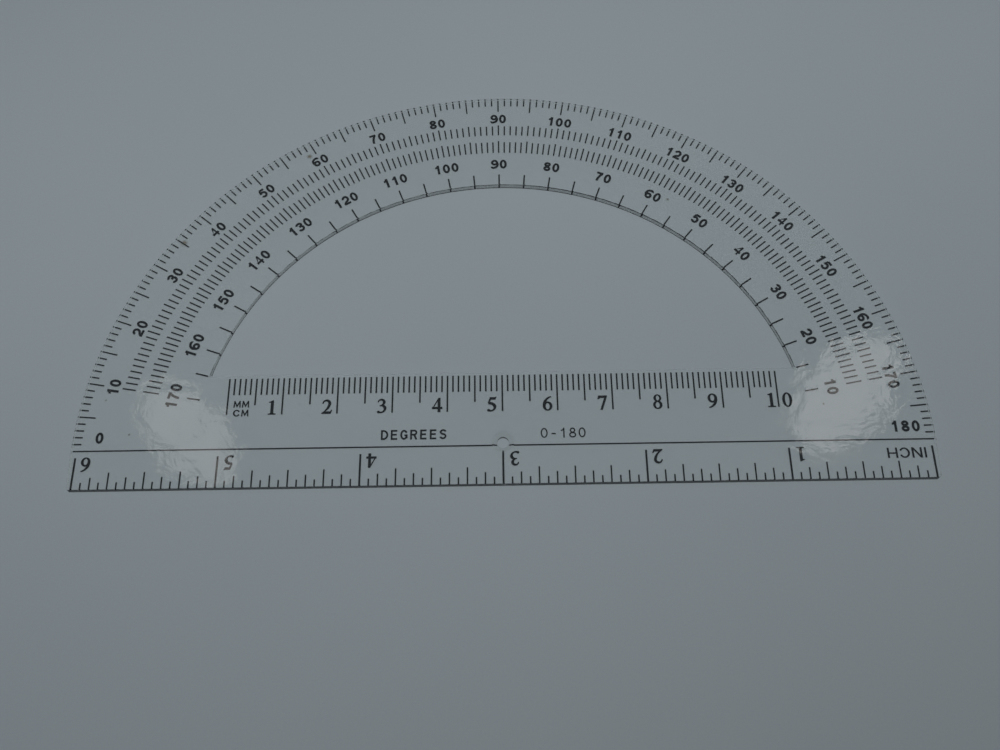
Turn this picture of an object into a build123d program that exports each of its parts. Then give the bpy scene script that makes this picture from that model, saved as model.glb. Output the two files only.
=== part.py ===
from build123d import *
import os
from math import sqrt

# A clear moulded half-round protractor, printed in black on its underside.
# Origin: axis of the centre hole, on the underside.  +X runs along the ruler edge towards
# the 180 degree end, +Y points at 90 degrees, +Z leaves the readable face.  Millimetres.

# moulded plate
PLATE_THICKNESS = 1.2
OUTER_RADIUS = 77.0
WINDOW_RADIUS = 55.5
EDGE_SOFTENING = 0.15
ZERO_INCH_CORNER_RADIUS = 0.6
SIX_INCH_CORNER_RADIUS = 0.2

# centre hole, widened towards the readable face
HOLE_DIAMETER = 2.1
HOLE_RIM_DIAMETER = 4.1
COUNTERSINK_DEPTH = 0.7

# the arcs and the printed baseline share one centre, just below the hole's axis
SCALE_CENTRE_Y = -0.5

# heights measured from the printed baseline
RULER_EDGE = -7.5
WINDOW_EDGE = 14.25

# print
INK_THICKNESS = 0.02
INK_MARGIN = 0.05
DEGREE_TICK_WIDTH = 0.26
WINDOW_TICK_WIDTH = 0.28
CENTIMETRE_TICK_WIDTH = 0.29
INCH_TICK_WIDTH = 0.27
INCH_MARK_WIDTH = 0.35

# degree rings, radii
OUTER_RING_TOP = OUTER_RADIUS - 2 * INK_MARGIN
OUTER_RING_FOOT = 75.5
OUTER_RING_FIVES_FOOT = 73.95
OUTER_RING_TENS_FOOT = 74.1
MID_RING_FOOT = 68.1
MID_RING_TOP = 70.35
MID_RING_FIVES_TOP = 70.6
LOW_RING_FOOT = 63.75
LOW_RING_TOP = 66.35
LOW_RING_FIVES_TOP = 66.65
WINDOW_RING_TOP = 58.4
WINDOW_RING_FOOT = WINDOW_RADIUS + INK_MARGIN
WINDOW_RING_END_FOOT = 56.0

# degree numerals
DEGREE_DIGIT_HEIGHT = 2.15
DEGREE_DIGIT_PITCH = 1.75
DEGREE_PEN = 0.215
OUTER_NUMERAL_RADIUS = 71.15
INNER_NUMERAL_RADIUS = 59.85
ZERO_NUMERAL_X = -72.4
FULL_NUMERAL_X = 72.1
FULL_NUMERAL_PITCH = 1.88
END_NUMERAL_BASE = 1.45

# centimetre scale
CENTIMETRE_START_X = -50.0
CENTIMETRE_TICK_TOP = 13.85
MILLIMETRE_TICK_FOOT = 10.6
FIVE_MILLIMETRE_TICK_FOOT = 8.55
TEN_MILLIMETRE_TICK_FOOT = 6.65
CENTIMETRE_DIGIT_HEIGHT = 2.72
CENTIMETRE_DIGIT_BASE = 6.68
CENTIMETRE_DIGIT_SHIFT = -1.85
TEN_LEFT_DIGIT_SHIFT = -1.25
TEN_RIGHT_DIGIT_SHIFT = 1.65
METRIC_LABEL_X = -47.45
METRIC_LABEL_HEIGHT = 1.32
METRIC_LABEL_PITCH = 1.54
METRIC_LABEL_UPPER_BASE = 8.1
METRIC_LABEL_LOWER_BASE = 6.35
METRIC_PEN = 0.16

# inch scale, read with the plate turned round
INCH = 25.4
INCH_ZERO_X = 3 * INCH
INCHES = 6
SIXTEENTH_TICK_TOP = -5.95
EIGHTH_TICK_TOP = -5.05
QUARTER_TICK_TOP = -4.1
INCH_TICK_TOP = -1.3
INCH_DIGIT_HEIGHT = 2.62
INCH_DIGIT_BASE = -1.25
INCH_DIGIT_SHIFT = 2.0
INCH_LABEL_X = 71.6
INCH_LABEL_BASE = -1.6
INCH_LABEL_HEIGHT = 1.95
INCH_LETTER_SHIFTS = {"I": -3.25, "N": -1.75, "C": 0.45, "H": 2.6}
INCH_PEN = 0.13

# printed baseline
BASELINE_WIDTH = 0.25
BASELINE_HALF_LENGTH = 76.85
BASELINE_GAP = 1.25

# plain labels either side of the hole
DEGREES_LABEL_X = -16.0
DEGREES_LABEL_BASE = 1.35
DEGREES_LABEL_HEIGHT = 1.9
DEGREES_LABEL_PITCH = 1.75
DEGREES_PEN = 0.17
RANGE_LABEL_X = 10.8
RANGE_LABEL_BASE = 1.3
RANGE_LABEL_HEIGHT = 1.9
RANGE_LABEL_PITCH = 1.7
RANGE_PEN = 0.12

# glyphs of height 1
GLYPH_WIDTH = 0.66
SERIF_SWELL = 0.022
WIDE_STRETCH = 1.4
WIDE_M_STRETCH = 1.12


def scale_frame(x, y):
    """Location of a point given from the scale centre."""
    return Pos(x, SCALE_CENTRE_Y + y, 0)


def reading_frame(reading):
    """Turns +Y from the scale centre to an angle counted from the left end of the baseline."""
    return Pos(0, SCALE_CENTRE_Y, 0) * Rot(0, 0, 90 - reading)


# ---------------------------------------------------------------- moulded plate
def plate_outline():
    disc = Circle(OUTER_RADIUS)
    height = OUTER_RADIUS - RULER_EDGE
    keep = Pos(0, RULER_EDGE + height / 2) * Rectangle(2 * OUTER_RADIUS, height)
    outline = disc & keep
    corners = outline.vertices().filter_by(lambda v: v.Y < RULER_EDGE + 1).sort_by(Axis.X)
    outline = fillet(corners[0], SIX_INCH_CORNER_RADIUS)
    corners = outline.vertices().filter_by(lambda v: v.Y < RULER_EDGE + 1).sort_by(Axis.X)
    outline = fillet(corners[-1], ZERO_INCH_CORNER_RADIUS)
    return outline


def window_outline():
    height = WINDOW_RADIUS - WINDOW_EDGE
    keep = Pos(0, WINDOW_EDGE + height / 2) * Rectangle(2 * WINDOW_RADIUS, height)
    return Circle(WINDOW_RADIUS) & keep


def moulded_plate():
    face = plate_outline() - window_outline()
    body = scale_frame(0, 0) * extrude(face, PLATE_THICKNESS)
    rims = body.edges().filter_by(lambda e: e.center().Z > PLATE_THICKNESS - INK_THICKNESS)
    body = fillet(rims, EDGE_SOFTENING)
    cone_height = COUNTERSINK_DEPTH
    drill = Cylinder(HOLE_DIAMETER / 2, PLATE_THICKNESS, align=(Align.CENTER, Align.CENTER, Align.MIN))
    sink = Cone(HOLE_DIAMETER / 2, HOLE_RIM_DIAMETER / 2, cone_height,
                align=(Align.CENTER, Align.CENTER, Align.MIN))
    body = body - drill - Pos(0, 0, PLATE_THICKNESS - cone_height) * sink
    return body


# ---------------------------------------------------------------- ink
def ink(face):
    return extrude(face, INK_THICKNESS, dir=(0, 0, 1))


def bar(width, length):
    """A printed line standing on the local X axis."""
    return Box(width, length, INK_THICKNESS, align=(Align.CENTER, Align.MIN, Align.MIN))


def degree_tick(reading, foot, top, width=DEGREE_TICK_WIDTH):
    return reading_frame(reading) * Pos(0, foot, 0) * bar(width, top - foot)


def ruler_tick(x, foot, top, width):
    return scale_frame(x, foot) * bar(width, top - foot)


# ---------------------------------------------------------------- plain lettering, height 1
def pen_line(pen, *points):
    return trace(Polyline(*points), line_width=pen)


def pen_arcs(pen, start, *arcs):
    """Arcs joined end to end; each is a pair (point on the way, end point)."""
    strokes = []
    for index, (middle, end) in enumerate(arcs):
        strokes.append(trace(ThreePointArc(start, middle, end), line_width=pen))
        if index > 0:
            strokes.append(Pos(*start) * Circle(pen / 2))
        start = end
    return Sketch() + strokes


def pen_bowl(pen):
    """A round letter form, open to the right."""
    mid = GLYPH_WIDTH / 2
    mouth = Polygon((mid, 0.5), (mid + 1, 1.26), (mid + 1, -0.26), align=None)
    return pen_ring(pen, mid + 0.01, 0.5, mid + 0.02 - pen / 2, 0.5 - pen / 2) - mouth


def pen_ring(pen, x, y, rx, ry):
    outer = Ellipse(rx + pen / 2, ry + pen / 2)
    inner = Ellipse(rx - pen / 2, ry - pen / 2)
    return Pos(x, y) * (outer - inner)


def turned(face):
    """Half a turn about the middle of a glyph."""
    return Pos(GLYPH_WIDTH / 2, 0.5) * Rot(0, 0, 180) * Pos(-GLYPH_WIDTH / 2, -0.5) * face


def sans(character, pen):
    lo = pen / 2
    hi = 1 - lo
    mid = GLYPH_WIDTH / 2
    right = GLYPH_WIDTH - lo
    if character == "0":
        return pen_ring(pen, mid, 0.5, mid - lo, 0.5 - lo)
    if character == "1":
        stem = Pos(0.40, 0.5) * Rectangle(pen, 1)
        flag = pen_arcs(pen * 0.9, (0.12, 0.73), ((0.29, 0.78), (0.38, 0.98)))
        return (stem + flag) & (Pos(mid, 0.5) * Rectangle(1, 1))
    if character == "2":
        top = pen_arcs(pen, (lo, 0.68), ((mid, hi), (right, 0.70)), ((0.52, 0.50), (0.34, 0.36)))
        tail = pen_arcs(pen, (0.34, 0.36), ((0.17, 0.23), (0.09, lo)))
        return top + tail + pen_line(pen, (0.02, lo), (GLYPH_WIDTH, lo))
    if character == "3":
        top = pen_arcs(pen, (0.10, 0.74), ((mid, hi), (0.55, 0.74)), ((0.47, 0.58), (0.27, 0.54)))
        low = pen_arcs(pen, (0.27, 0.54), ((0.52, 0.47), (right, 0.29)), ((mid, lo), (lo, 0.27)))
        return top + low
    if character == "4":
        frame = Polygon((0.0, 0.22), (0.39, 0.22), (0.39, 0), (0.54, 0), (0.54, 1), (0.39, 1), align=None)
        frame = frame + Pos(0.33, 0.22 + lo) * Rectangle(GLYPH_WIDTH, pen)
        return frame - Polygon((0.14, 0.22 + pen), (0.39, 0.22 + pen), (0.39, 0.76), align=None)
    if character == "5":
        top = pen_line(pen, (0.60, hi), (0.15, hi))
        back = pen_line(pen * 0.9, (0.17, hi), (0.10, 0.46))
        bowl = pen_arcs(pen, (0.10, 0.52), ((0.37, 0.61), (right, 0.34)), ((mid, lo), (lo, 0.25)))
        return top + back + bowl
    if character == "6":
        bowl = pen_ring(pen, mid, 0.32, mid - lo, 0.32 - lo)
        return bowl + pen_arcs(pen, (lo, 0.32), ((0.14, 0.78), (0.37, hi)), ((0.51, 0.90), (0.58, 0.77)))
    if character == "7":
        return pen_line(pen, (0.04, hi), (0.63, hi)) + pen_arcs(pen, (0.58, hi), ((0.34, 0.50), (0.24, 0)))
    if character == "8":
        return pen_ring(pen, mid, 0.74, 0.20, 0.26 - lo) + pen_ring(pen, mid, 0.28, mid - lo, 0.28 - lo)
    if character == "9":
        return turned(sans("6", pen))
    if character == "-":
        return pen_line(pen, (0.14, 0.42), (0.52, 0.42))
    if character == "C":
        return pen_bowl(pen)
    if character == "D":
        bow = pen_arcs(pen, (0.30, hi), ((0.61, 0.5), (0.30, lo)))
        return pen_line(pen, (0.32, hi), (0.09, hi), (0.09, lo), (0.32, lo)) + bow
    if character == "E":
        spine = pen_line(pen, (0.62, hi), (0.10, hi), (0.10, lo), (0.62, lo))
        return spine + pen_line(pen, (0.10, 0.52), (0.57, 0.52))
    if character == "G":
        return pen_bowl(pen) + pen_line(pen, (0.38, 0.44), (0.60, 0.44), (0.60, 0.14))
    if character == "H":
        posts = pen_line(pen, (0.06, 0), (0.06, 1)) + pen_line(pen, (0.60, 0), (0.60, 1))
        return posts + pen_line(pen, (0.06, 0.53), (0.60, 0.53))
    if character == "I":
        return pen_line(pen, (mid, 0), (mid, 1))
    if character == "M":
        posts = pen_line(pen, (-0.04, 0), (0.02, 1)) + pen_line(pen, (0.70, 0), (0.64, 1))
        return posts + pen_line(pen, (0.02, 0.94), (mid, 0.2), (0.64, 0.94))
    if character == "N":
        posts = pen_line(pen, (0.06, 0), (0.06, 1)) + pen_line(pen, (0.60, 0), (0.60, 1))
        return posts + pen_line(pen, (0.08, 0.96), (0.58, 0.04))
    if character == "R":
        bow = pen_arcs(pen, (0.36, hi), ((0.58, 0.73), (0.36, 0.50)))
        frame = pen_line(pen, (0.09, 0), (0.09, hi), (0.38, hi)) + pen_line(pen, (0.09, 0.50), (0.38, 0.50))
        return frame + bow + pen_line(pen, (0.38, 0.48), (0.60, 0))
    top = pen_arcs(pen, (0.59, 0.77), ((0.33, hi), (0.11, 0.73)), ((0.20, 0.58), (0.35, 0.52)))
    return top + pen_arcs(pen, (0.35, 0.52), ((0.52, 0.44), (0.58, 0.28)), ((0.33, lo), (lo, 0.24)))


# ---------------------------------------------------------------- seriffed numerals, height 1
def outline(start, *steps):
    """A face from straight steps (end point,) and arcs (point on the way, end point)."""
    edges = []
    here = start
    for step in steps + ((start,),):
        if len(step) == 1:
            edges.append(Line(here, step[0]))
        else:
            edges.append(ThreePointArc(here, step[0], step[1]))
        here = step[-1]
    return make_face(edges)


def disc(x, y, rx, ry):
    return Pos(x, y) * Ellipse(rx, ry)


def bold_ring(rim, hole):
    """An elliptical ring with a heavier stroke; rim and hole are (x, y, rx, ry)."""
    x, y, rx, ry = rim
    hole_x, hole_y, hole_rx, hole_ry = hole
    opening = disc(hole_x, hole_y, hole_rx - SERIF_SWELL, hole_ry - SERIF_SWELL)
    return disc(x, y, rx + SERIF_SWELL, ry + SERIF_SWELL) - opening


def bold(face):
    """A heavier form of an outline made of straight lines and circular arcs."""
    return Sketch() + offset(face, SERIF_SWELL).faces()


def serif(character):
    if character == "0":
        return bold_ring((0.33, 0.5, 0.31, 0.51), (0.33, 0.5, 0.165, 0.45))
    if character == "1":
        stem = Polygon((0.26, 0.03), (0.42, 0.03), (0.42, 1), (0.37, 1), (0.12, 0.88), (0.26, 0.86),
                       align=None)
        foot = outline((0.10, 0), ((0.58, 0),), ((0.58, 0.045),), ((0.45, 0.07), (0.42, 0.14)),
                       ((0.26, 0.14),), ((0.23, 0.07), (0.10, 0.045)))
        return bold(stem + foot)
    if character == "2":
        digit = outline((0.03, 0.74), ((0.29, 1.0), (0.585, 0.74)), ((0.50, 0.47), (0.17, 0.135)),
                        ((0.48, 0.135),), ((0.57, 0.15), (0.62, 0.24)), ((0.66, 0.24),), ((0.58, 0),),
                        ((0.0, 0),), ((0.0, 0.04),), ((0.32, 0.38), (0.43, 0.70)),
                        ((0.26, 0.90), (0.07, 0.73)))
        return bold(digit)
    if character == "3":
        digit = outline((0.05, 0.79), ((0.28, 1.0), (0.54, 0.78)), ((0.49, 0.64), (0.38, 0.56)),
                        ((0.55, 0.47), (0.61, 0.31)), ((0.44, 0.05), (0.12, -0.01)),
                        ((0.02, 0.06), (0.12, 0.12)),
                        ((0.34, 0.07), (0.46, 0.28)), ((0.37, 0.45), (0.19, 0.48)), ((0.19, 0.52),),
                        ((0.34, 0.61), (0.39, 0.75)), ((0.26, 0.91), (0.09, 0.77)))
        return bold(digit)
    if character == "4":
        frame = Polygon((0.01, 0.22), (0.38, 0.22), (0.38, 0), (0.53, 0), (0.53, 1), (0.42, 1), align=None)
        frame = frame + Pos(0.335, 0.28) * Rectangle(0.65, 0.12)
        return bold(frame - Polygon((0.10, 0.34), (0.38, 0.34), (0.38, 0.84), align=None))
    if character == "5":
        flag = Polygon((0.20, 0.85), (0.53, 0.85), (0.60, 1.03), (0.56, 0.99), (0.19, 0.99), align=None)
        neck = Polygon((0.19, 0.99), (0.06, 0.62), (0.11, 0.60), (0.24, 0.85), align=None)
        bowl = outline((0.06, 0.62), ((0.43, 0.56), (0.59, 0.33)), ((0.42, 0.05), (0.10, -0.01)),
                       ((0.01, 0.06), (0.12, 0.12)), ((0.33, 0.08), (0.43, 0.28)),
                       ((0.33, 0.44), (0.09, 0.50)))
        return bold(flag + neck + bowl)
    if character == "6":
        bowl = bold_ring((0.34, 0.30, 0.30, 0.315), (0.345, 0.285, 0.155, 0.245))
        horn = outline((0.04, 0.32), ((0.17, 0.76), (0.57, 1.0)), ((0.59, 0.96),),
                       ((0.30, 0.74), (0.20, 0.40)))
        return bowl + bold(horn)
    if character == "7":
        digit = Polygon((0.08, 0.99), (0.63, 0.99), (0.63, 0.94), (0.31, -0.02), (0.19, -0.02),
                        (0.48, 0.85), (0.18, 0.85), (0.08, 0.76), (0.03, 0.77), align=None)
        return bold(digit)
    if character == "8":
        upper = bold_ring((0.33, 0.76, 0.24, 0.25), (0.34, 0.77, 0.125, 0.20))
        lower = bold_ring((0.33, 0.27, 0.29, 0.285), (0.32, 0.26, 0.155, 0.225))
        return upper + lower
    return turned(serif("6"))


# ---------------------------------------------------------------- rows of glyphs
def enlarged(face, factor):
    """Scales about the local origin, wherever the face was placed."""
    return Pos((factor - 1) * face.position) * scale(face, factor)


def widened(face, factor):
    """Stretches along X about the local origin, wherever the face was placed."""
    return Pos((factor - 1) * face.position.X, 0) * scale(face, (factor, 1, 1))


def glyph(face, height, x, base):
    """One printed character, centred on x and standing on base, in local coordinates."""
    return Pos(x, base, 0) * ink(Pos(-GLYPH_WIDTH / 2 * height, 0) * enlarged(face, height))


def wide_glyph(character, height, pen, x, base):
    """An extended capital."""
    stretch = WIDE_M_STRETCH if character == "M" else WIDE_STRETCH
    centred = Pos(-GLYPH_WIDTH / 2, 0) * sans(character, pen)
    return Pos(x, base, 0) * ink(enlarged(widened(centred, stretch), height))


def sans_row(text, height, pitch, pen, base):
    row = []
    for index, character in enumerate(text):
        x = (index - (len(text) - 1) / 2) * pitch
        row.append(glyph(sans(character, pen), height, x, base))
    return row


def place(location, pieces):
    return [location * piece for piece in pieces]


# ---------------------------------------------------------------- printed groups
def baseline():
    length = BASELINE_HALF_LENGTH - BASELINE_GAP
    middle = BASELINE_GAP + length / 2
    line = Box(length, BASELINE_WIDTH, INK_THICKNESS, align=(Align.CENTER, Align.CENTER, Align.MIN))
    return [scale_frame(side * middle, 0) * line for side in (-1, 1)]


def outer_ring():
    ticks = []
    for reading in range(1, 180):
        foot = OUTER_RING_FOOT
        if reading % 5 == 0:
            foot = OUTER_RING_FIVES_FOOT
        if reading % 10 == 0:
            foot = OUTER_RING_TENS_FOOT
        ticks.append(degree_tick(reading, foot, OUTER_RING_TOP))
    return ticks


def inner_ring(foot, top, fives_top):
    ticks = []
    for reading in range(10, 171):
        end = fives_top if reading % 5 == 0 else top
        ticks.append(degree_tick(reading, foot, end))
    return ticks


def window_ring():
    ticks = []
    for reading in range(10, 171, 5):
        foot = WINDOW_RING_FOOT if 20 <= reading <= 160 else WINDOW_RING_END_FOOT
        ticks.append(degree_tick(reading, foot, WINDOW_RING_TOP, WINDOW_TICK_WIDTH))
    return ticks


def ring_numerals(radius, first, step):
    pieces = []
    for reading in range(10, 171, 10):
        text = str(first + step * reading)
        row = sans_row(text, DEGREE_DIGIT_HEIGHT, DEGREE_DIGIT_PITCH, DEGREE_PEN, radius)
        pieces += place(reading_frame(reading), row)
    return pieces


def end_numerals():
    zero = sans_row("0", DEGREE_DIGIT_HEIGHT, DEGREE_DIGIT_PITCH, DEGREE_PEN, END_NUMERAL_BASE)
    full = sans_row("180", DEGREE_DIGIT_HEIGHT, FULL_NUMERAL_PITCH, DEGREE_PEN, END_NUMERAL_BASE)
    return place(scale_frame(ZERO_NUMERAL_X, 0), zero) + place(scale_frame(FULL_NUMERAL_X, 0), full)


def centimetre_ticks():
    ticks = []
    for millimetre in range(101):
        foot = MILLIMETRE_TICK_FOOT
        if millimetre % 5 == 0:
            foot = FIVE_MILLIMETRE_TICK_FOOT
        if millimetre % 10 == 0:
            foot = TEN_MILLIMETRE_TICK_FOOT
        x = CENTIMETRE_START_X + millimetre
        ticks.append(ruler_tick(x, foot, CENTIMETRE_TICK_TOP, CENTIMETRE_TICK_WIDTH))
    return ticks


def centimetre_numerals():
    pieces = []
    for centimetre in range(1, 10):
        x = CENTIMETRE_START_X + 10 * centimetre + CENTIMETRE_DIGIT_SHIFT
        pieces.append(glyph(serif(str(centimetre)), CENTIMETRE_DIGIT_HEIGHT, x, CENTIMETRE_DIGIT_BASE))
    ten = CENTIMETRE_START_X + 100
    for character, shift in (("1", TEN_LEFT_DIGIT_SHIFT), ("0", TEN_RIGHT_DIGIT_SHIFT)):
        pieces.append(glyph(serif(character), CENTIMETRE_DIGIT_HEIGHT, ten + shift, CENTIMETRE_DIGIT_BASE))
    return place(scale_frame(0, 0), pieces)


def metric_label():
    letters = []
    for text, base in (("MM", METRIC_LABEL_UPPER_BASE), ("CM", METRIC_LABEL_LOWER_BASE)):
        for side, character in zip((-0.5, 0.5), text):
            x = side * METRIC_LABEL_PITCH
            letters.append(wide_glyph(character, METRIC_LABEL_HEIGHT, METRIC_PEN, x, base))
    return place(scale_frame(METRIC_LABEL_X, 0), letters)


def inch_tick_top(sixteenth):
    if sixteenth % 16 == 0:
        return INCH_TICK_TOP
    if sixteenth % 4 == 0:
        return QUARTER_TICK_TOP
    if sixteenth % 2 == 0:
        return EIGHTH_TICK_TOP
    return SIXTEENTH_TICK_TOP


def inch_ticks():
    printable = scale_frame(0, 0) * extrude(offset(plate_outline(), -INK_MARGIN), INK_THICKNESS)
    ticks = []
    for sixteenth in range(16 * INCHES + 1):
        x = INCH_ZERO_X - sixteenth * INCH / 16
        foot = RULER_EDGE + INK_MARGIN
        width = INCH_MARK_WIDTH if sixteenth % 16 == 0 else INCH_TICK_WIDTH
        tick = ruler_tick(x, foot, inch_tick_top(sixteenth), width)
        if sixteenth in (0, 16 * INCHES):
            tick = tick & printable
        ticks.append(tick)
    return ticks


def inch_numerals():
    pieces = []
    for number in range(1, INCHES + 1):
        x = INCH_ZERO_X - number * INCH + INCH_DIGIT_SHIFT
        digit = glyph(serif(str(number)), INCH_DIGIT_HEIGHT, 0, 0)
        pieces.append(scale_frame(x, INCH_DIGIT_BASE) * Rot(0, 0, 180) * digit)
    return pieces


def inch_label():
    letters = []
    for character, shift in INCH_LETTER_SHIFTS.items():
        letters.append(wide_glyph(character, INCH_LABEL_HEIGHT, INCH_PEN, shift, 0))
    return place(scale_frame(INCH_LABEL_X, INCH_LABEL_BASE) * Rot(0, 0, 180), letters)


def degrees_label():
    row = sans_row("DEGREES", DEGREES_LABEL_HEIGHT, DEGREES_LABEL_PITCH, DEGREES_PEN, DEGREES_LABEL_BASE)
    return place(scale_frame(DEGREES_LABEL_X, 0), row)


def range_label():
    row = sans_row("0-180", RANGE_LABEL_HEIGHT, RANGE_LABEL_PITCH, RANGE_PEN, RANGE_LABEL_BASE)
    return place(scale_frame(RANGE_LABEL_X, 0), row)


# ---------------------------------------------------------------- nodes
nodes = {
    "clear_plate": [moulded_plate()],
    "ink_baseline": baseline(),
    "ink_outer_degree_ticks": outer_ring(),
    "ink_outer_degree_numerals": ring_numerals(OUTER_NUMERAL_RADIUS, 0, 1),
    "ink_end_degree_numerals": end_numerals(),
    "ink_mid_degree_ticks": inner_ring(MID_RING_FOOT, MID_RING_TOP, MID_RING_FIVES_TOP),
    "ink_low_degree_ticks": inner_ring(LOW_RING_FOOT, LOW_RING_TOP, LOW_RING_FIVES_TOP),
    "ink_inner_degree_numerals": ring_numerals(INNER_NUMERAL_RADIUS, 180, -1),
    "ink_window_degree_ticks": window_ring(),
    "ink_centimetre_ticks": centimetre_ticks(),
    "ink_centimetre_numerals": centimetre_numerals(),
    "ink_metric_label": metric_label(),
    "ink_inch_ticks": inch_ticks(),
    "ink_inch_numerals": inch_numerals(),
    "ink_inch_label": inch_label(),
    "ink_degrees_label": degrees_label(),
    "ink_range_label": range_label(),
}

os.makedirs("parts", exist_ok=True)
for name, pieces in nodes.items():
    solids = [solid for piece in pieces for solid in piece.solids()]
    export_step(Compound(label=name, children=solids), f"parts/{name}.step")
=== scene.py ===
from math import radians

import bpy
from mathutils import Matrix, Vector


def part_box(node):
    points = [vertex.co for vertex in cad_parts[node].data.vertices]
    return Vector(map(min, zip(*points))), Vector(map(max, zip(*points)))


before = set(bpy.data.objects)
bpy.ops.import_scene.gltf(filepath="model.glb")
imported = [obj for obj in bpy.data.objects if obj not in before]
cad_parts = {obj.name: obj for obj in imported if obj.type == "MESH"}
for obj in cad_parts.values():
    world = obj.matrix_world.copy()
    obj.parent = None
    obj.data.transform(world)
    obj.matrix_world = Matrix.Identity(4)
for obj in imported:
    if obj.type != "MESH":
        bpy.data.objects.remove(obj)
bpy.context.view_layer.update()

MM = 0.001
PLATE = "clear_plate"
plate_low, plate_high = (Vector(corner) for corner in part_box(PLATE))
PLATE_THICKNESS = plate_high.z - plate_low.z
PLATE_MIDDLE = (plate_low + plate_high) / 2
AIR_GAP = 0.05 * MM
SCALE_CENTRE_Y = -0.5 * MM


# ---------------------------------------------------------------- node helpers
class Nodes:
    """A short way to write a procedural material."""

    def __init__(self, name):
        self.material = bpy.data.materials.new(name)
        self.material.use_nodes = True
        self.tree = self.material.node_tree
        self.shader = self.tree.nodes["Principled BSDF"]
        self.place = self.add("ShaderNodeTexCoord").outputs["Object"]

    def add(self, kind, **values):
        node = self.tree.nodes.new(kind)
        for key, value in values.items():
            setattr(node, key, value)
        return node

    def link(self, source, target):
        self.tree.links.new(source, target)

    def shifted(self, offset=(0, 0, 0), stretch=(1, 1, 1), turn=(0, 0, 0)):
        node = self.add("ShaderNodeMapping")
        node.inputs["Location"].default_value = offset
        node.inputs["Scale"].default_value = stretch
        node.inputs["Rotation"].default_value = turn
        self.link(self.place, node.inputs["Vector"])
        return node.outputs["Vector"]

    def noise(self, scale, detail=3.0, roughness=0.5, vector=None, distortion=0.0):
        node = self.add("ShaderNodeTexNoise")
        node.inputs["Scale"].default_value = scale
        node.inputs["Detail"].default_value = detail
        node.inputs["Roughness"].default_value = roughness
        node.inputs["Distortion"].default_value = distortion
        self.link(vector or self.place, node.inputs["Vector"])
        return node.outputs["Fac"]

    def ramp(self, value, low, high, out_low=0.0, out_high=1.0, smooth=True):
        node = self.add("ShaderNodeMapRange")
        node.interpolation_type = "SMOOTHSTEP" if smooth else "LINEAR"
        limits = {"From Min": low, "From Max": high, "To Min": out_low, "To Max": out_high}
        for socket, number in limits.items():
            node.inputs[socket].default_value = number
        self.link(value, node.inputs["Value"])
        return node.outputs["Result"]

    def maths(self, operation, first, second):
        node = self.add("ShaderNodeMath", operation=operation)
        for socket, value in zip(node.inputs, (first, second)):
            if isinstance(value, (int, float)):
                socket.default_value = value
            else:
                self.link(value, socket)
        return node.outputs["Value"]

    def blob(self, centre, inner, outer):
        """1 within inner of a point, 0 beyond outer, in metres."""
        node = self.add("ShaderNodeVectorMath", operation="DISTANCE")
        node.inputs[1].default_value = centre
        self.link(self.place, node.inputs[0])
        return self.ramp(node.outputs["Value"], inner, outer, 1.0, 0.0)

    def colours(self, value, *stops):
        node = self.add("ShaderNodeValToRGB")
        ramp = node.color_ramp
        while len(ramp.elements) < len(stops):
            ramp.elements.new(0.5)
        for element, (position, colour) in zip(ramp.elements, stops):
            element.position = position
            element.color = (*colour, 1.0)
        self.link(value, node.inputs["Fac"])
        return node.outputs["Color"]

    def mixed(self, share, below, over):
        """One colour laid over another, where share is 1."""
        node = self.add("ShaderNodeMix", data_type="RGBA")
        self.link(share, node.inputs["Factor"])
        self.link(below, node.inputs["A"])
        node.inputs["B"].default_value = (*over, 1.0)
        return node.outputs["Result"]

    def bump(self, height, strength, distance, below=None):
        node = self.add("ShaderNodeBump")
        node.inputs["Strength"].default_value = strength
        node.inputs["Distance"].default_value = distance
        self.link(height, node.inputs["Height"])
        if below is not None:
            self.link(below, node.inputs["Normal"])
        return node.outputs["Normal"]

    def pass_lamp_light(self, colour):
        """Lets shadow rays straight through, so the table under the plate is lit."""
        clear = self.add("ShaderNodeBsdfTransparent")
        clear.inputs["Color"].default_value = colour
        mix = self.add("ShaderNodeMixShader")
        self.link(self.add("ShaderNodeLightPath").outputs["Is Shadow Ray"], mix.inputs[0])
        self.link(self.shader.outputs[0], mix.inputs[1])
        self.link(clear.outputs[0], mix.inputs[2])
        self.link(mix.outputs[0], self.tree.nodes["Material Output"].inputs["Surface"])

    def set(self, **values):
        for key, value in values.items():
            self.shader.inputs[key.replace("_", " ")].default_value = value


# ---------------------------------------------------------------- materials
WALL_RING = (56.5 * MM, 57.0 * MM)
WALL_FOOT = (0.12 * MM, 0.30 * MM)
WALL_FRONT = (12.0 * MM, 12.5 * MM)
WALL_CLEARNESS = 0.36
PLASTIC_IOR = 1.57
RIGHT_END = Vector((64, 8, 0)) * MM
RIGHT_END_REACH = (4 * MM, 22 * MM)
LEFT_END = Vector((-61, 3, 0)) * MM
LEFT_END_REACH = (4 * MM, 24 * MM)
BROWN_MARK_CORE = 0.2
BROWN_GLARE_AND_SPECKS = (
    # brown marks on the top face: the three large ones are a painted reflection of warm glare at
    # the digits, the four small ones are dust specks: x, y in mm, radius in mm
    (-61.4, 42.4, 1.0), (-38.2, 62.5, 0.8), (33.2, 50.8, 0.5),
    (-66.9, 2.3, 0.3), (-72.0, 9.1, 0.3), (57.9, 6.3, 0.3), (56.2, 9.1, 0.3),
)


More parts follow.
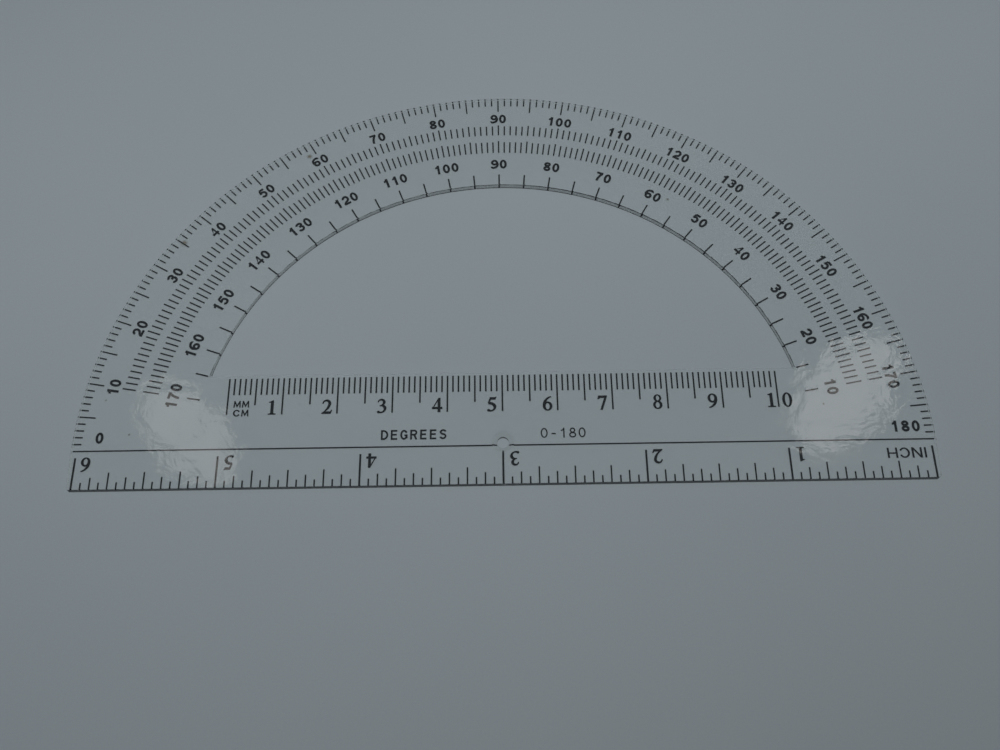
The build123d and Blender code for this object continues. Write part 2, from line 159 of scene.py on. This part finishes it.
def window_wall(m):
    """1 on the upright wall of the window's arc, fading towards its top and bottom edges."""
    normal = m.add("ShaderNodeSeparateXYZ")
    m.link(m.add("ShaderNodeTexCoord").outputs["Normal"], normal.inputs[0])
    upright = m.ramp(m.maths("ABSOLUTE", normal.outputs["Z"], 0.0), 0.10, 0.30, 1.0, 0.0)
    point = m.add("ShaderNodeSeparateXYZ")
    m.link(m.place, point.inputs[0])
    above_foot = m.ramp(point.outputs["Z"], *WALL_FOOT)
    flat_place = m.shifted(stretch=(1.0, 1.0, 0.0))
    from_centre = m.add("ShaderNodeVectorMath", operation="DISTANCE")
    m.link(flat_place, from_centre.inputs[0])
    from_centre.inputs[1].default_value = (0.0, SCALE_CENTRE_Y, 0.0)
    inside = m.ramp(from_centre.outputs["Value"], *WALL_RING, 1.0, 0.0)
    beyond = m.ramp(point.outputs["Y"], *WALL_FRONT)
    around = m.maths("MULTIPLY", inside, beyond)
    return m.maths("MULTIPLY", m.maths("MULTIPLY", upright, above_foot), around)


def clear_plastic():
    m = Nodes("clear_moulded_plastic")
    m.set(Transmission_Weight=1.0, IOR=PLASTIC_IOR)
    slow = m.noise(45.0, 2.0, 0.4)
    fine = m.noise(900.0, 3.0, 0.6)
    haze = m.noise(30.0, 3.0, 0.5)
    tint = m.colours(haze, (0.30, (0.975, 0.985, 0.985)), (0.70, (0.99, 0.995, 0.995)))
    # painted brown glare reflection at three digits, plus four real dust specks, mixed into the
    # plastic's tint
    glare_and_specks = 0.0
    for x, y, radius in BROWN_GLARE_AND_SPECKS:
        centre = (x * MM, y * MM, PLATE_THICKNESS)
        brown_mark = m.blob(centre, BROWN_MARK_CORE * radius * MM, radius * MM)
        glare_and_specks = m.maths("MAXIMUM", brown_mark, glare_and_specks)
    painted_glare_and_dust = m.maths("MULTIPLY", glare_and_specks, m.ramp(fine, 0.30, 0.55, 0.55, 1.0))
    m.link(m.mixed(painted_glare_and_dust, tint, (0.22, 0.15, 0.08)), m.shader.inputs["Base Color"])
    along_scratches = m.shifted(stretch=(0.06, 1.0, 1.0), turn=(0, 0, radians(27)))
    scratches = m.noise(260.0, 2.0, 0.5, along_scratches)
    handling = m.ramp(scratches, 0.62, 0.74)
    top_face = Vector((0, 0, PLATE_THICKNESS))
    right_end = m.blob(RIGHT_END + top_face, *RIGHT_END_REACH)
    left_end = m.blob(LEFT_END + top_face, *LEFT_END_REACH)
    ends = m.maths("MAXIMUM", right_end, left_end)
    waves = m.noise(230.0, 4.0, 0.55, distortion=0.6)
    ripples = m.maths("MULTIPLY", waves, ends)
    normal = m.bump(slow, 0.20, 0.05 * MM)
    normal = m.bump(ripples, 1.0, 0.06 * MM, normal)
    normal = m.bump(handling, 0.12, 0.01 * MM, normal)
    m.link(normal, m.shader.inputs["Normal"])
    wear = m.ramp(fine, 0.35, 0.75, 0.01, 0.04)
    rough = m.maths("ADD", wear, m.maths("MULTIPLY", handling, 0.06))
    m.link(rough, m.shader.inputs["Roughness"])
    wall_clearness = m.ramp(window_wall(m), 0.0, 1.0, 1.0, WALL_CLEARNESS)
    m.link(wall_clearness, m.shader.inputs["Alpha"])
    m.pass_lamp_light((1.0, 1.0, 0.995, 1.0))
    return m.material


def black_ink():
    m = Nodes("black_printed_ink")
    patches = m.noise(1400.0, 4.0, 0.6)
    tone = m.colours(patches, (0.30, (0.003, 0.003, 0.004)), (0.70, (0.010, 0.009, 0.010)))
    m.set(Specular_IOR_Level=0.12)
    m.link(tone, m.shader.inputs["Base Color"])
    m.link(m.ramp(patches, 0.3, 0.7, 0.45, 0.7), m.shader.inputs["Roughness"])
    m.link(m.bump(patches, 0.2, 0.004 * MM), m.shader.inputs["Normal"])
    return m.material


def table_top():
    m = Nodes("pale_table")
    cloudy = m.noise(9.0, 3.0, 0.5)
    grain = m.noise(2200.0, 2.0, 0.6)
    mixed = m.maths("ADD", m.maths("MULTIPLY", cloudy, 0.7), m.maths("MULTIPLY", grain, 0.3))
    tone = m.colours(mixed, (0.25, (0.60, 0.645, 0.665)), (0.75, (0.66, 0.70, 0.715)))
    m.link(tone, m.shader.inputs["Base Color"])
    m.set(Roughness=0.6)
    m.link(m.bump(grain, 0.1, 0.02 * MM), m.shader.inputs["Normal"])
    return m.material


plastic = clear_plastic()
ink = black_ink()
for node_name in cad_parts:
    material = plastic if node_name == PLATE else ink
    mesh = bpy.data.objects[node_name].data
    for index in range(len(mesh.materials)):
        mesh.materials[index] = material


# ---------------------------------------------------------------- floor
FLOOR_HALF_WIDTH = 1.2


def make_floor():
    half = FLOOR_HALF_WIDTH
    mesh = bpy.data.meshes.new("table_top")
    z = plate_low.z - AIR_GAP
    corners = [(-half, -half, z), (half, -half, z), (half, half, z), (-half, half, z)]
    mesh.from_pydata(corners, [], [(0, 1, 2, 3)])
    floor = bpy.data.objects.new("table_top", mesh)
    bpy.context.collection.objects.link(floor)
    mesh.materials.append(table_top())


make_floor()


# ---------------------------------------------------------------- camera
IMAGE_WIDTH = 1000.0
SENSOR_WIDTH = 36.0
FOCAL_PIXELS = 1122.3
CAMERA_PLACE = Vector((0.145, -75.22, 186.64)) * MM
CAMERA_RIGHT = Vector((0.99988, -0.01269, -0.00880))
CAMERA_DOWN = Vector((-0.01524, -0.90289, -0.42960))

camera_data = bpy.data.cameras.new("camera")
camera_data.sensor_width = SENSOR_WIDTH
camera_data.lens = FOCAL_PIXELS / IMAGE_WIDTH * SENSOR_WIDTH
camera_data.clip_start = 0.01
camera = bpy.data.objects.new("camera", camera_data)
bpy.context.collection.objects.link(camera)
forward = CAMERA_RIGHT.cross(CAMERA_DOWN)
turn = Matrix((CAMERA_RIGHT, -CAMERA_DOWN, -forward)).transposed()
camera.matrix_world = Matrix.Translation(CAMERA_PLACE) @ turn.to_4x4()
bpy.context.scene.camera = camera


# ---------------------------------------------------------------- light
def soft_box(name, direction, distance, size, watts, colour, mirrored, shape="RECTANGLE"):
    """A plain area light that faces the middle of the plate from a direction."""
    data = bpy.data.lights.new(name, "AREA")
    data.shape = shape
    data.size, data.size_y = size
    data.energy = watts
    data.color = colour
    lamp = bpy.data.objects.new(name, data)
    bpy.context.collection.objects.link(lamp)
    away = Vector(direction).normalized()
    lamp.location = PLATE_MIDDLE + away * distance
    lamp.rotation_euler = away.to_track_quat("Z", "Y").to_euler()
    lamp.visible_camera = False
    lamp.visible_glossy = mirrored
    lamp.visible_transmission = False
    return lamp


DAYLIGHT = (0.885, 0.955, 1.0)
SKY = (0.80, 0.93, 1.0)
WARM = (1.0, 0.96, 0.92)
soft_box("overhead_light", (-0.05, 0.22, 1.0), 0.25, (0.48, 0.16), 0.335, DAYLIGHT, False)

# plain soft boxes that the glossy plastic mirrors: one large and dim, two small ones at the sides
ceiling = soft_box("ceiling_light", (0.0, 0.30, 1.0), 1.10, (3.0, 2.4), 8.1, SKY, True)
ceiling.visible_diffuse = False
soft_box("right_light", (0.393, 0.426, 1.0), 1.16, (0.10, 0.17), 0.075, WARM, True, "ELLIPSE")
soft_box("left_light", (-0.357, 0.385, 1.0), 1.13, (0.08, 0.15), 0.042, WARM, True, "ELLIPSE")

world = bpy.data.worlds.new("room")
bpy.context.scene.world = world
world.use_nodes = True
background = world.node_tree.nodes["Background"]
background.inputs["Color"].default_value = (0.80, 0.90, 1.0, 1.0)
background.inputs["Strength"].default_value = 0.035

bpy.context.scene.view_settings.view_transform = "Standard"
